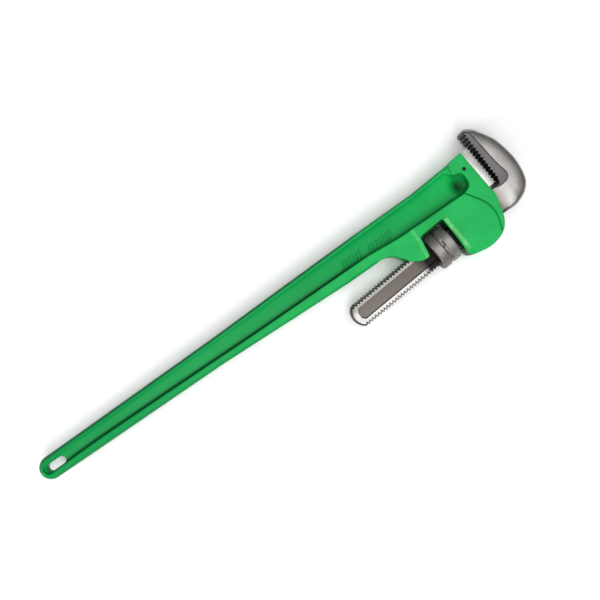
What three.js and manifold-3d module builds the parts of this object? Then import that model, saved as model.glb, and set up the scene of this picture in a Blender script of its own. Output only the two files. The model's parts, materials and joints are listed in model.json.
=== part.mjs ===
import * as THREE from 'three';
import { mergeVertices } from 'three/addons/utils/BufferGeometryUtils.js';
import Module from 'manifold-3d';

// A 36 inch straight pipe wrench lying on its side, jaws almost closed.
// Millimetres. Until the last lines, +X runs along the handle to the head, +Y is the side that the
// heel jaw opens to, and Z = 0 is the mid-plane. The shank frame is the same frame turned about Z by
// shankTilt: its X runs along the hook jaw's shank, and head parts are drawn in it.

const shankTilt = THREE.MathUtils.degToRad(4.7);
const runningGap = 0.6;
const restGap = 0.35;

// handle grip: a tapered I-beam
const gripEndX = -425.7;
const gripEndRadius = 16.4;
const gripEndY = 7.6;
const gripHeadX = 280;
const gripEndHalfThickness = 11;
const gripThicknessPerMm = 6 / 553;
const gripEdgeRound = 4;
const rimWidth = 8;
const webHalfThickness = 6;
const webFillet = 4;
const hangSlotLength = 29;
const hangSlotWidth = 11;

// housing: the head of the handle casting
const housingHalfThickness = 24.5;
const seatBlockHalfThickness = 22.5;
const housingEdgeRound = 2;
const rampStartX = 128;
const rampEndX = 178;
const pocketFloorHalfThickness = 3;
const windowWallX = 216.6;
const windowTopY = -38.6;
const windowChamferWidth = 6.6;
const windowChamferDepth = 6.4;

// shank of the hook jaw, and its thread
const shankY = -68.2;
const shankHalfThickness = 11;
const shankEndX = 38.5;
const threadPitch = 5.08;
const threadCrestRadius = 18;
const threadRootRadius = 15.6;
const threadEndX = 232;
const threadRidgeRootWidth = 3.6;
const threadRidgeCrestWidth = 1.5;
const plainShankRadius = 17.4;
const shankTopX = 300;
const shankEndRound = 15;
const shankEndBevel = 4.5;
const recessStartX = 49;
const recessEndX = 236;
const recessHalfWidth = 9;
const recessDepth = 2.6;

// hook jaw head
const hookHalfThickness = 17;
const hookEdgeRound = 3;
const hookRampStartX = 296.5;
const hookRampEndX = 307;
const hookToothDepth = 2.6;
const hookToothCount = 14;

// heel jaw
const heelHalfThickness = 16;
const heelBaseX = 293;
const heelTipX = 305.2;
const heelLowY = -45.4;
const heelHighY = 14.6;
const heelToothDepth = 2.4;
const heelToothCount = 11;
const tongueHalfThickness = 4.5;
const tongueLowY = -22;
const tongueHighY = 8;
const tongueStartX = 276;

// roll pin through the heel jaw's tongue
const pinX = 281.5;
const pinY = -5;
const pinRadius = 2.25;
const pinHalfLength = 21.6;
const pinSlitWidth = 0.9;
const pinBoreRadius = 1.2;

// adjusting nut
const nutRadius = 26;
const nutStartX = 179.5;
const nutLength = 30;
const nutChamfer = 1.6;
const nutGrooveDepth = 1.4;
const nutGrooveWidth = 5;
const nutDimpleCount = 6;
const nutDimpleTurn = THREE.MathUtils.degToRad(10);
const threadSideGap = 0.35;
const threadRadialGap = 0.4;

// tunnel for the shank, with the spring pocket in its wall
const tunnelHighY = -46.2;
const tunnelLowY = shankY - threadCrestRadius - runningGap;
const tunnelHalfThickness = shankHalfThickness + runningGap;
const leafGrooveY = -43.8;
const springPocketX = 272;
const springPocketFloorY = -32.3;

// springs
const leafLowX = 228;
const leafHighX = 286;
const leafThickness = 1.2;
const leafHalfWidth = 6;
const leafFaceY = shankY + threadCrestRadius + restGap;
const coilRadius = 4.6;
const coilWireRadius = 0.8;
const coilLength = 11;
const coilTurns = 4.5;
const coilPocketGap = 1.7;
const rivetStemRadius = 1.5;
const rivetHeadRadius = 3.2;
const rivetHeadHeight = 1.5;

const threadSegmentsPerTurn = 20;
const roundSegments = 40;
const farAway = 400;

const wasm = await Module();
wasm.setup();

function toSolid(geometry) {
	geometry.deleteAttribute('normal');
	geometry.deleteAttribute('uv');
	const merged = mergeVertices(geometry, 1e-4);
	return new wasm.Manifold(new wasm.Mesh({
		numProp: 3,
		vertProperties: new Float32Array(merged.attributes.position.array),
		triVerts: new Uint32Array(merged.index.array),
	}));
}

function toGeometry(solid) {
	const mesh = solid.getMesh();
	const geometry = new THREE.BufferGeometry();
	geometry.setAttribute('position', new THREE.BufferAttribute(mesh.vertProperties, 3));
	geometry.setIndex(new THREE.BufferAttribute(mesh.triVerts, 1));
	geometry.computeVertexNormals();
	return geometry;
}

// A slab of the given outline, from -halfThickness to +halfThickness, with its edges rounded.
function slab(outline, halfThickness, edgeRound = 0, edgeSegments = 2) {
	const geometry = new THREE.ExtrudeGeometry(outline, {
		depth: 2 * (halfThickness - edgeRound),
		bevelEnabled: edgeRound > 0,
		bevelSize: edgeRound,
		bevelOffset: -edgeRound,
		bevelThickness: edgeRound,
		bevelSegments: edgeSegments,
		curveSegments: 6,
	});
	geometry.translate(0, 0, edgeRound - halfThickness);
	return geometry;
}

function block(lowX, highX, lowY, highY, halfThickness) {
	const geometry = new THREE.BoxGeometry(highX - lowX, highY - lowY, 2 * halfThickness);
	geometry.translate((lowX + highX) / 2, (lowY + highY) / 2, 0);
	return geometry;
}

// A shape drawn as X against Z and swept right across Y.
function sideProfile(points) {
	const shape = new THREE.Shape(points.map(([x, z]) => new THREE.Vector2(x, z)));
	const geometry = new THREE.ExtrudeGeometry(shape, { depth: 2 * farAway, bevelEnabled: false });
	geometry.translate(0, 0, -farAway);
	geometry.rotateX(Math.PI / 2);
	return geometry;
}

function cylinderAlongX(radius, lowX, highX, y) {
	const geometry = new THREE.CylinderGeometry(radius, radius, highX - lowX, roundSegments);
	geometry.rotateZ(-Math.PI / 2);
	geometry.translate((lowX + highX) / 2, y, 0);
	return geometry;
}

function inShankFrame(x, y) {
	return new THREE.Vector2(x, y).rotateAround(new THREE.Vector2(), shankTilt);
}

// A shape through corner points, with the corners that carry a radius rounded off.
function cornerShape(corners) {
	const shape = new THREE.Shape();
	corners.forEach(([x, y, radius = 0], index) => {
		const before = corners[(index + corners.length - 1) % corners.length];
		const after = corners[(index + 1) % corners.length];
		const corner = new THREE.Vector2(x, y);
		const towardsBefore = new THREE.Vector2(before[0] - x, before[1] - y).normalize();
		const towardsAfter = new THREE.Vector2(after[0] - x, after[1] - y).normalize();
		const start = corner.clone().addScaledVector(towardsBefore, radius);
		const end = corner.clone().addScaledVector(towardsAfter, radius);
		if (index === 0) {
			shape.moveTo(start.x, start.y);
		} else {
			shape.lineTo(start.x, start.y);
		}
		if (radius > 0) {
			shape.quadraticCurveTo(x, y, end.x, end.y);
		}
	});
	return shape;
}

// Corners given in the shank frame, as corners of the handle frame.
function turned(corners) {
	return corners.map(([x, y, radius]) => {
		const point = inShankFrame(x, y);
		return [point.x, point.y, radius];
	});
}

class Helix extends THREE.Curve {

	constructor(radius, pitch, turns) {
		super();
		this.radius = radius;
		this.pitch = pitch;
		this.turns = turns;
	}

	getPoint(t, target = new THREE.Vector3()) {
		const angle = 2 * Math.PI * this.turns * t;
		const y = this.radius * Math.cos(angle);
		const z = this.radius * Math.sin(angle);
		return target.set(this.pitch * this.turns * t, y, z);
	}

	getPointAt(t, target) {
		return this.getPoint(t, target);
	}

	// Section axes kept square to the screw's own axis: local x outward, local y along the axis.
	computeFrenetFrames(segments) {
		const tangents = [];
		const normals = [];
		const binormals = [];
		for (let step = 0; step <= segments; step += 1) {
			const angle = 2 * Math.PI * this.turns * step / segments;
			normals.push(new THREE.Vector3(0, Math.cos(angle), Math.sin(angle)));
			binormals.push(new THREE.Vector3(-1, 0, 0));
			tangents.push(new THREE.Vector3(0, -Math.sin(angle), Math.cos(angle)));
		}
		return { tangents, normals, binormals };
	}

}

// A right-hand screw along X: a round core and one helical ridge of trapezium section.
function screw(lowX, highX, rootRadius, crestRadius, rootWidth, crestWidth) {
	const turns = Math.ceil((highX - lowX) / threadPitch) + 2;
	const sunk = 0.5;
	const section = new THREE.Shape();
	section.moveTo(-sunk, -rootWidth / 2);
	section.lineTo(0, -rootWidth / 2);
	section.lineTo(crestRadius - rootRadius, -crestWidth / 2);
	section.lineTo(crestRadius - rootRadius, crestWidth / 2);
	section.lineTo(0, rootWidth / 2);
	section.lineTo(-sunk, rootWidth / 2);
	const ridge = new THREE.ExtrudeGeometry(section, {
		steps: turns * threadSegmentsPerTurn,
		extrudePath: new Helix(rootRadius, threadPitch, turns),
	});
	const firstRidgeX = threadPitch * Math.floor(lowX / threadPitch - 1);
	ridge.translate(firstRidgeX, shankY, 0);
	const core = new THREE.CylinderGeometry(
		rootRadius, rootRadius, highX - lowX + 4 * threadPitch, threadSegmentsPerTurn,
	);
	core.rotateZ(-Math.PI / 2);
	core.rotateX(Math.PI / 2);
	core.translate((lowX + highX) / 2, shankY, 0);
	const reach = block(lowX, highX, shankY - crestRadius - 1, shankY + crestRadius + 1, crestRadius + 1);
	return toSolid(core).add(toSolid(ridge)).intersect(toSolid(reach));
}

// ---- handle ----

function gripHalfThickness(x) {
	return gripEndHalfThickness + gripThicknessPerMm * (x - gripEndX);
}

function gripOutline() {
	const shape = new THREE.Shape();
	const endCentreX = gripEndX + gripEndRadius;
	shape.moveTo(endCentreX, gripEndY - gripEndRadius);
	shape.lineTo(-137, -11.7);
	shape.lineTo(0, -17);
	shape.lineTo(68, -19.4);
	shape.lineTo(gripHeadX, -19.4);
	shape.lineTo(gripHeadX, 35.8);
	shape.lineTo(262, 35.6);
	shape.lineTo(206, 31.4);
	shape.lineTo(110, 30.8);
	shape.lineTo(0, 28.8);
	shape.lineTo(-137, 25.9);
	shape.lineTo(endCentreX, gripEndY + gripEndRadius);
	shape.absarc(endCentreX, gripEndY, gripEndRadius, Math.PI / 2, -Math.PI / 2, false);
	return shape;
}

// The scooped channel on each face of the grip, which leaves the rims and the web.
function webRecessOutline() {
	const shape = new THREE.Shape();
	const endCentreX = gripEndX + gripEndRadius;
	const endRadius = gripEndRadius - rimWidth;
	shape.moveTo(endCentreX, gripEndY - endRadius);
	shape.lineTo(-68, -2.6);
	shape.lineTo(110, -3.9);
	shape.lineTo(160, -7.8);
	shape.lineTo(262, -8.6);
	shape.quadraticCurveTo(276, -5, 275, 6);
	shape.quadraticCurveTo(274, 17, 262, 20);
	shape.lineTo(256, 27.5);
	shape.lineTo(206, 23.6);
	shape.lineTo(0, 21);
	shape.lineTo(endCentreX, gripEndY + endRadius);
	shape.absarc(endCentreX, gripEndY, endRadius, Math.PI / 2, -Math.PI / 2, false);
	return shape;
}

// The deep end of the channel, between the housing plate and the boss.
function headPocketOutline() {
	const shape = new THREE.Shape();
	shape.absellipse(260, 5.5, 10.5, 12, 0, 2 * Math.PI, false);
	return shape;
}

function hangSlotOutline() {
	const centreX = gripEndX + gripEndRadius + hangSlotLength / 2 - 5;
	const reach = (hangSlotLength - hangSlotWidth) / 2;
	const shape = new THREE.Shape();
	shape.absarc(centreX + reach, gripEndY, hangSlotWidth / 2, -Math.PI / 2, Math.PI / 2, false);
	shape.absarc(centreX - reach, gripEndY, hangSlotWidth / 2, Math.PI / 2, 1.5 * Math.PI, false);
	return shape;
}

// Cuts the outline into both faces, down to floorHalfThickness from the mid-plane.
function cutBothFaces(solid, outline, floorHalfThickness, floorFillet) {
	const depth = housingHalfThickness * 2;
	const cutter = slab(outline, depth / 2, floorFillet, 3);
	const offset = floorHalfThickness + depth / 2;
	const front = toSolid(cutter.clone().translate(0, 0, offset));
	const back = toSolid(cutter.translate(0, 0, -offset));
	return solid.subtract(front).subtract(back);
}

function gripSolid() {
	const fullThickness = gripHalfThickness(gripHeadX);
	const geometry = slab(gripOutline(), fullThickness, gripEdgeRound);
	const position = geometry.attributes.position;
	for (let index = 0; index < position.count; index += 1) {
		const share = gripHalfThickness(position.getX(index)) / fullThickness;
		position.setZ(index, position.getZ(index) * share);
	}
	let grip = cutBothFaces(toSolid(geometry), webRecessOutline(), webHalfThickness, webFillet);
	grip = cutBothFaces(grip, headPocketOutline(), pocketFloorHalfThickness, 2);
	return grip.subtract(toSolid(slab(hangSlotOutline(), housingHalfThickness)));
}

// Corners of the head in the shank frame: the lobe under the nut window, the window and the collar.
const lobeCorners = [
	[126, -29.6, 6], [137, -38, 6], [147, -55, 6], [160, -66.2, 8], [172.3, -66.8, 4],
];
const windowCorners = [
	[178.4, windowTopY, 3], [windowWallX, windowTopY, 4],
];
const collarCorners = [
	[214.6, -101.5, 9], [247, -110, 13],
];
const stepCorners = [
	[267, -104.5], [278, -78, 9], [276, -58, 8], [265, -38, 6],
];
const seatX = heelBaseX - restGap;

function housingOutline() {
	const head = turned([...lobeCorners, ...windowCorners, ...collarCorners, ...stepCorners]);
	const rimX = rampStartX - 12;
	return cornerShape([[rimX, -19.4], ...head, [262, -8.6], [160, -7.8], [rimX, -4.4]]);
}

function seatBlockOutline() {
	const collar = [[224, -44], ...collarCorners, [275, -103, 14], [285, -84, 6], [293.4, -58, 4]];
	const seat = [[seatX, tunnelHighY], [seatX - 0.8, 14.8]];
	const boss = [[271, 37.4, 5], [264.5, 30, 3], [262, 18, 6], [275.5, 16, 5], [276, -4, 8]];
	return cornerShape([...turned([...collar, ...seat]), ...boss, [262, -8.6], [226, -8.3]]);
}

// The housing plate thins down to the rim of the grip over a ramp on each face.
function cutRamps(solid) {
	const rimHalfThickness = gripHalfThickness(rampStartX);
	const outside = 2 * housingHalfThickness;
	const ramp = [
		[rampStartX - 40, rimHalfThickness], [rampStartX, rimHalfThickness],
		[rampEndX, housingHalfThickness + 0.01], [rampEndX, outside], [rampStartX - 40, outside],
	];
	const backRamp = ramp.map(([x, z]) => [x, -z]).reverse();
	return solid.subtract(toSolid(sideProfile(ramp))).subtract(toSolid(sideProfile(backRamp)));
}

// The window's wall beside the housing has a wide chamfer on each face, down to the shank's level.
function windowChamfers() {
	const cutFrom = windowWallX - 20;
	const outside = 2 * housingHalfThickness;
	const lowZ = housingHalfThickness - windowChamferDepth;
	const slope = windowChamferWidth / windowChamferDepth;
	const profile = [
		[cutFrom, lowZ], [windowWallX, lowZ],
		[windowWallX + slope * (outside - lowZ), outside], [cutFrom, outside],
	];
	const backProfile = profile.map(([x, z]) => [x, -z]).reverse();
	const reach = toSolid(block(cutFrom, 300, -160, windowTopY + 0.5, outside + 1));
	const cuts = toSolid(sideProfile(profile)).add(toSolid(sideProfile(backProfile)));
	return toGeometry(cuts.intersect(reach));
}

function cylinderAcross(radius, lowY, highY, x) {
	const geometry = new THREE.CylinderGeometry(radius, radius, highY - lowY, 24);
	geometry.translate(x, (lowY + highY) / 2, 0);
	return geometry;
}

function cylinderUpright(radius, halfLength, x, y) {
	const geometry = new THREE.CylinderGeometry(radius, radius, 2 * halfLength, 24);
	geometry.rotateX(Math.PI / 2);
	geometry.translate(x, y, 0);
	return geometry;
}

// Everything that is cut out of the head for the pieces it holds, in the shank frame.
function headCuts() {
	const beyond = 40;
	const coilPocketRadius = coilRadius + coilWireRadius + coilPocketGap;
	return [
		windowChamfers(),
		block(windowWallX - 10, seatX + beyond, tunnelLowY, tunnelHighY, tunnelHalfThickness),
		block(90, 190, tunnelLowY - beyond, tunnelHighY, tunnelHalfThickness),
		block(leafLowX - 3, seatX + beyond, tunnelHighY - 1, leafGrooveY, leafHalfWidth + restGap * 2),
		cylinderAcross(coilPocketRadius, leafGrooveY - 1, springPocketFloorY, springPocketX),
		block(tongueStartX - restGap, seatX + beyond, tongueLowY - restGap, tongueHighY + restGap,
			tongueHalfThickness + restGap),
		cylinderUpright(pinRadius + restGap, housingHalfThickness + 5, pinX, pinY),
	];
}

function handle() {
	let solid = cutRamps(toSolid(slab(housingOutline(), housingHalfThickness, housingEdgeRound)));
	solid = solid.add(gripSolid());
	solid = solid.add(toSolid(slab(seatBlockOutline(), seatBlockHalfThickness, housingEdgeRound)));
	for (const cut of headCuts()) {
		solid = solid.subtract(toSolid(cut.rotateZ(shankTilt)));
	}
	return toGeometry(solid);
}

// ---- jaws ----

// The gullets between teeth along a face that runs from (x0, y0) to (x1, y1), teeth pointing -X.
function toothGullets(x0, y0, x1, y1, count, depth, halfThickness) {
	const shape = new THREE.Shape();
	const tipFlat = 0.08;
	const rootAt = 0.6;
	const back = 12;
	shape.moveTo(x0 - back * Math.sign(depth), y0);
	for (let tooth = 0; tooth < count; tooth += 1) {
		for (const [share, cut] of [[tipFlat, 0], [rootAt, depth], [1 - tipFlat, 0]]) {
			const along = (tooth + share) / count;
			shape.lineTo(x0 + (x1 - x0) * along + cut, y0 + (y1 - y0) * along);
		}
	}
	shape.lineTo(x1 - back * Math.sign(depth), y1);
	return slab(shape, halfThickness + 1);
}

function hookHeadOutline() {
	const shape = new THREE.Shape();
	shape.moveTo(284, -52.4);
	shape.lineTo(301, -52.4);
	shape.quadraticCurveTo(309, -52, 309.2, -46);
	shape.lineTo(311.8, 31);
	shape.quadraticCurveTo(312, 37, 317, 37);
	shape.quadraticCurveTo(324, 36, 328.5, 28);
	shape.splineThru([
		new THREE.Vector2(336.5, 13.6), new THREE.Vector2(342.6, 0), new THREE.Vector2(346, -17),
		new THREE.Vector2(347.6, -36), new THREE.Vector2(345.5, -55), new THREE.Vector2(340, -71),
		new THREE.Vector2(329, -81.5), new THREE.Vector2(314, -87),
	]);
	shape.quadraticCurveTo(303, -89, 291, -86);
	shape.lineTo(284, -84);
	return shape;
}

function hookHeadSolid() {
	const far = 400;
	const profile = [
		[270, -shankHalfThickness], [hookRampStartX, -shankHalfThickness],
		[hookRampEndX, -hookHalfThickness - 0.01], [far, -hookHalfThickness - 0.01],
		[far, hookHalfThickness + 0.01], [hookRampEndX, hookHalfThickness + 0.01],
		[hookRampStartX, shankHalfThickness], [270, shankHalfThickness],
	];
	const head = toSolid(slab(hookHeadOutline(), hookHalfThickness, hookEdgeRound));
	const gullets = toothGullets(309.2, -45, 311.7, 30.5, hookToothCount, hookToothDepth, hookHalfThickness);
	return head.intersect(toSolid(sideProfile(profile))).subtract(toSolid(gullets));
}

// The blank that the shank is cut from: flat sides and a rounded, bevelled lower end.
function shankBlank() {
	const reach = threadCrestRadius + 0.3;
	const outline = new THREE.Shape();
	outline.moveTo(shankTopX + 20, shankY - reach);
	outline.lineTo(shankTopX + 20, shankY + reach);
	outline.lineTo(shankEndX + shankEndRound, shankY + reach);
	outline.absellipse(
		shankEndX + shankEndRound, shankY, shankEndRound, reach, Math.PI / 2, 1.5 * Math.PI, false,
	);
	return toSolid(slab(outline, shankHalfThickness, shankEndBevel));
}

function shankRecessOutline() {
	return cornerShape([
		[recessStartX, shankY - recessHalfWidth, 5], [recessEndX, shankY - recessHalfWidth, 5],
		[recessEndX, shankY + recessHalfWidth, 5], [recessStartX, shankY + recessHalfWidth, 8],
	]);
}

function hookJaw() {
	const threaded = screw(
		shankEndX - 2, threadEndX, threadRootRadius, threadCrestRadius, threadRidgeRootWidth, threadRidgeCrestWidth,
	);
	const plain = toSolid(cylinderAlongX(plainShankRadius, threadEndX - 0.5, shankTopX, shankY));
	let shank = threaded.add(plain).intersect(shankBlank());
	shank = cutBothFaces(shank, shankRecessOutline(), shankHalfThickness - recessDepth, 0);
	return toGeometry(shank.add(hookHeadSolid()));
}

function heelJaw() {
	const base = block(heelBaseX, heelTipX, heelLowY, heelHighY, heelHalfThickness);
	const gullets = toothGullets(
		heelTipX, heelLowY, heelTipX, heelHighY, heelToothCount, -heelToothDepth, heelHalfThickness,
	);
	const tongue = block(tongueStartX, heelBaseX + 2, tongueLowY, tongueHighY, tongueHalfThickness);
	const pinHole = cylinderUpright(pinRadius + restGap, heelHalfThickness, pinX, pinY);
	const jaw = toSolid(base).subtract(toSolid(gullets)).add(toSolid(tongue)).subtract(toSolid(pinHole));
	return toGeometry(jaw);
}

// A slotted spring pin: a rolled tube with an open seam.
function rollPin() {
	const seam = Math.asin(pinSlitWidth / 2 / pinBoreRadius);
	const outerSeam = Math.asin(pinSlitWidth / 2 / pinRadius);
	const shape = new THREE.Shape();
	shape.absarc(0, 0, pinRadius, outerSeam, 2 * Math.PI - outerSeam, false);
	shape.absarc(0, 0, pinBoreRadius, 2 * Math.PI - seam, seam, true);
	const geometry = slab(shape, pinHalfLength);
	geometry.translate(pinX, pinY, 0);
	return toGeometry(toSolid(geometry));
}

// ---- adjusting nut ----

function nutBlank() {
	const middle = nutLength / 2;
	const groove = nutGrooveWidth / 2;
	const profile = [
		[0, 0], [nutRadius - nutChamfer, 0], [nutRadius, nutChamfer], [nutRadius, middle - groove],
		[nutRadius - nutGrooveDepth, middle], [nutRadius, middle + groove],
		[nutRadius, nutLength - nutChamfer], [nutRadius - nutChamfer, nutLength], [0, nutLength],
	].map(([radius, along]) => new THREE.Vector2(radius, along));
	const geometry = new THREE.LatheGeometry(profile, roundSegments);
	geometry.rotateZ(-Math.PI / 2);
	geometry.translate(nutStartX, shankY, 0);
	return toSolid(geometry);
}

function adjustingNut() {
	let nut = nutBlank();
	for (let dimple = 0; dimple < nutDimpleCount; dimple += 1) {
		const geometry = new THREE.SphereGeometry(1, 10, 8);
		geometry.scale(2.6, 6, 3);
		geometry.translate(0, 0, nutRadius);
		geometry.rotateX(2 * Math.PI * dimple / nutDimpleCount - nutDimpleTurn);
		geometry.translate(nutStartX + nutLength / 2, shankY, 0);
		nut = nut.subtract(toSolid(geometry));
	}
	const bore = screw(
		nutStartX - 1, nutStartX + nutLength + 1,
		threadRootRadius + threadRadialGap, threadCrestRadius + threadRadialGap,
		threadRidgeRootWidth + 2 * threadSideGap, threadRidgeCrestWidth + 2 * threadSideGap,
	);
	return toGeometry(nut.subtract(bore));
}

// ---- springs ----

const leafBackY = leafFaceY + leafThickness;

function flatSpring() {
	const tab = 2.6;
	const outline = new THREE.Shape([
		[leafLowX, leafFaceY], [leafHighX - 5, leafFaceY], [leafHighX, leafFaceY + 1],
		[leafHighX, leafBackY + 1], [leafHighX - 5, leafBackY], [leafLowX + leafThickness, leafBackY],
		[leafLowX + leafThickness, leafBackY + tab], [leafLowX, leafBackY + tab],
	].map(([x, y]) => new THREE.Vector2(x, y)));
	const leaf = toSolid(slab(outline, leafHalfWidth));
	const hole = cylinderAcross(rivetStemRadius + restGap, leafFaceY - 1, leafBackY + 1, springPocketX);
	return toGeometry(leaf.subtract(toSolid(hole)));
}

function springRivet() {
	const headY = leafBackY + restGap;
	const stem = cylinderAcross(rivetStemRadius, leafFaceY + 0.1, headY + 0.5, springPocketX);
	const head = cylinderAcross(rivetHeadRadius, headY, headY + rivetHeadHeight, springPocketX);
	return toGeometry(toSolid(stem).add(toSolid(head)));
}

function coilSpring() {
	const section = new THREE.Shape();
	section.absarc(0, 0, coilWireRadius, 0, 2 * Math.PI, false);
	const pitch = (coilLength - 2 * coilWireRadius) / coilTurns;
	const geometry = new THREE.ExtrudeGeometry(section, {
		steps: Math.round(coilTurns * 14),
		extrudePath: new Helix(coilRadius, pitch, coilTurns),
		curveSegments: 3,
	});
	geometry.rotateZ(Math.PI / 2);
	geometry.translate(springPocketX, leafBackY + restGap + coilWireRadius, 0);
	return toGeometry(toSolid(geometry));
}

// ---- assembly ----

function piece(name, geometry, color, roughness, metalness) {
	const mesh = new THREE.Mesh(geometry, new THREE.MeshStandardMaterial({ color, roughness, metalness }));
	mesh.name = name;
	return mesh;
}

const head = new THREE.Group();
head.rotation.z = shankTilt;
head.add(
	piece('hook_jaw', hookJaw(), 0xa29c96, 0.38, 0.9),
	piece('heel_jaw', heelJaw(), 0xcbc8c4, 0.42, 0.85),
	piece('heel_jaw_pin', rollPin(), 0x3c3a38, 0.5, 0.8),
	piece('adjusting_nut', adjustingNut(), 0x55504e, 0.45, 0.85),
	piece('flat_spring', flatSpring(), 0x6a6460, 0.4, 0.9),
	piece('coil_spring', coilSpring(), 0x5e5a57, 0.4, 0.9),
	piece('spring_rivet', springRivet(), 0x77716c, 0.45, 0.85),
);

const wrench = new THREE.Group();
wrench.add(piece('handle', handle(), 0x28b060, 0.35, 0), head);

// The origin is under the middle of the whole wrench, on the surface that it lies on.
wrench.updateMatrixWorld(true);
const box = new THREE.Box3().setFromObject(wrench, true);
const middle = box.getCenter(new THREE.Vector3());
wrench.position.set(-middle.x, -middle.y, -box.min.z);

export default wrench;
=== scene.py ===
import json
import math

import bpy
import numpy as np
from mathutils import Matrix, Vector


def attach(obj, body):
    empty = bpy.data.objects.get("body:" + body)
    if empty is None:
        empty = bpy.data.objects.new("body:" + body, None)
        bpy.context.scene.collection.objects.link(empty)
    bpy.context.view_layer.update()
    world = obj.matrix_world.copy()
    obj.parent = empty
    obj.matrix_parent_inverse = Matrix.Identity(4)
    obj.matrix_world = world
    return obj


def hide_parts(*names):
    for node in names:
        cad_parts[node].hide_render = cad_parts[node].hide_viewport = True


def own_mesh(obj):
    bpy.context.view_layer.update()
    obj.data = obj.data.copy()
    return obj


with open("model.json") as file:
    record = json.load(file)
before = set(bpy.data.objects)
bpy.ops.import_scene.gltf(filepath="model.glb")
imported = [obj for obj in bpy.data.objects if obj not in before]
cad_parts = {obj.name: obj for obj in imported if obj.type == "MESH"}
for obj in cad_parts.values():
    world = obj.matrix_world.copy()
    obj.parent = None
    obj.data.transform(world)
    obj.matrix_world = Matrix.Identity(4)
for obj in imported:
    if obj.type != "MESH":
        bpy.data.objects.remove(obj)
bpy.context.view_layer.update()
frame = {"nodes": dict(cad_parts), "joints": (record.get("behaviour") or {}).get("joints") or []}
print("frame loaded:", ", ".join(sorted(frame["nodes"])))


# All shapes are drawn in millimetres. The handle is drawn along X with the head to the right. The jaw, nut and
# springs are drawn along the shank, which leans a little to the handle. toRow puts both where the frame has them.

layout = {
    "shankLeanDeg": 4.7,
    "pivotAlongShank": (194.5, -68.2),
}
lean = math.radians(layout["shankLeanDeg"])
leanCos, leanSin = math.cos(lean), math.sin(lean)
pivotRow = Vector(next(j for j in frame["joints"] if j["name"] == "jaw_rock")["pos_m"])


def leaned(x, y):
    return x * leanCos - y * leanSin, x * leanSin + y * leanCos


pivotDrawn = leaned(*layout["pivotAlongShank"])
rowShift = np.array([pivotRow.x * 1000 - pivotDrawn[0], pivotRow.y * 1000 - pivotDrawn[1], pivotRow.z * 1000])


def toRow(points, alongShank=False):
    points = np.array(points, float).reshape(-1, 3)
    if alongShank:
        x, y = leaned(points[:, 0], points[:, 1])
        points = np.column_stack([x, y, points[:, 2]])
    return (points + rowShift) / 1000


def newPiece(name, points, faces, body, nodes=()):
    mesh = bpy.data.meshes.new(name)
    mesh.from_pydata(np.asarray(points).tolist(), [], faces if isinstance(faces, list) else faces.tolist())
    mesh.shade_smooth()
    piece = bpy.data.objects.new(name, mesh)
    bpy.context.scene.collection.objects.link(piece)
    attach(piece, body)
    if nodes:
        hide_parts(*nodes)
    return piece


def bakeModifiers(piece):
    # turns the modifiers into plain mesh, so that the next step works on the real shape
    graph = bpy.context.evaluated_depsgraph_get()
    done = bpy.data.meshes.new_from_object(piece.evaluated_get(graph))
    piece.modifiers.clear()
    piece.data = done
    return piece


def combine(piece, tools, operation):
    for tool in tools:
        step = piece.modifiers.new(operation, "BOOLEAN")
        step.operation = operation
        step.object = tool
        step.solver = "EXACT"
    bakeModifiers(piece)
    for tool in tools:
        bpy.data.objects.remove(tool)
    return piece


def softenEdges(piece, width, segments=2, angle=35):
    bevel = piece.modifiers.new("soften", "BEVEL")
    bevel.width = width / 1000
    bevel.segments = segments
    bevel.limit_method = "ANGLE"
    bevel.angle_limit = math.radians(angle)
    bevel.harden_normals = False
    return piece


def toolSolid(points, faces):
    mesh = bpy.data.meshes.new("tool")
    mesh.from_pydata(np.asarray(points).tolist(), [], faces)
    tool = bpy.data.objects.new("tool", mesh)
    bpy.context.scene.collection.objects.link(tool)
    return tool


def roundedOutline(corners, steps=6):
    # corner points (x, y, reach): reach is how far the rounding runs along each side
    outline = []
    count = len(corners)
    for i, corner in enumerate(corners):
        reach = corner[2] if len(corner) > 2 else 0
        here = np.array(corner[:2], float)
        if reach <= 0:
            outline.append(here)
            continue
        before = np.array(corners[i - 1][:2], float) - here
        after = np.array(corners[(i + 1) % count][:2], float) - here
        start = here + before / np.linalg.norm(before) * reach
        end = here + after / np.linalg.norm(after) * reach
        for t in np.linspace(0, 1, steps + 1):
            outline.append((1 - t) ** 2 * start + 2 * t * (1 - t) * here + t * t * end)
    return np.array(outline)


def layered(outlines, heights, alongShank=True):
    # a solid from outlines with the same number of corners, one at each height from low to high
    count, last = len(outlines[0]), len(outlines) - 1
    rows = [np.column_stack([outline, np.full(count, height)]) for outline, height in zip(outlines, heights)]
    points = toRow(np.vstack(rows), alongShank)
    base = outlines[0]
    area = np.sum(base[:, 0] * np.roll(base[:, 1], -1) - base[:, 1] * np.roll(base[:, 0], -1))
    faces = [list(range(count))[::-1], list(range(last * count, (last + 1) * count))]
    for level in range(last):
        a, b = level * count, (level + 1) * count
        faces += [[a + i, a + (i + 1) % count, b + (i + 1) % count, b + i] for i in range(count)]
    if area < 0:
        faces = [face[::-1] for face in faces]
    return points, faces


def extruded(outline, low, high, alongShank=True):
    return layered([outline, outline], [low, high], alongShank)


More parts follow.
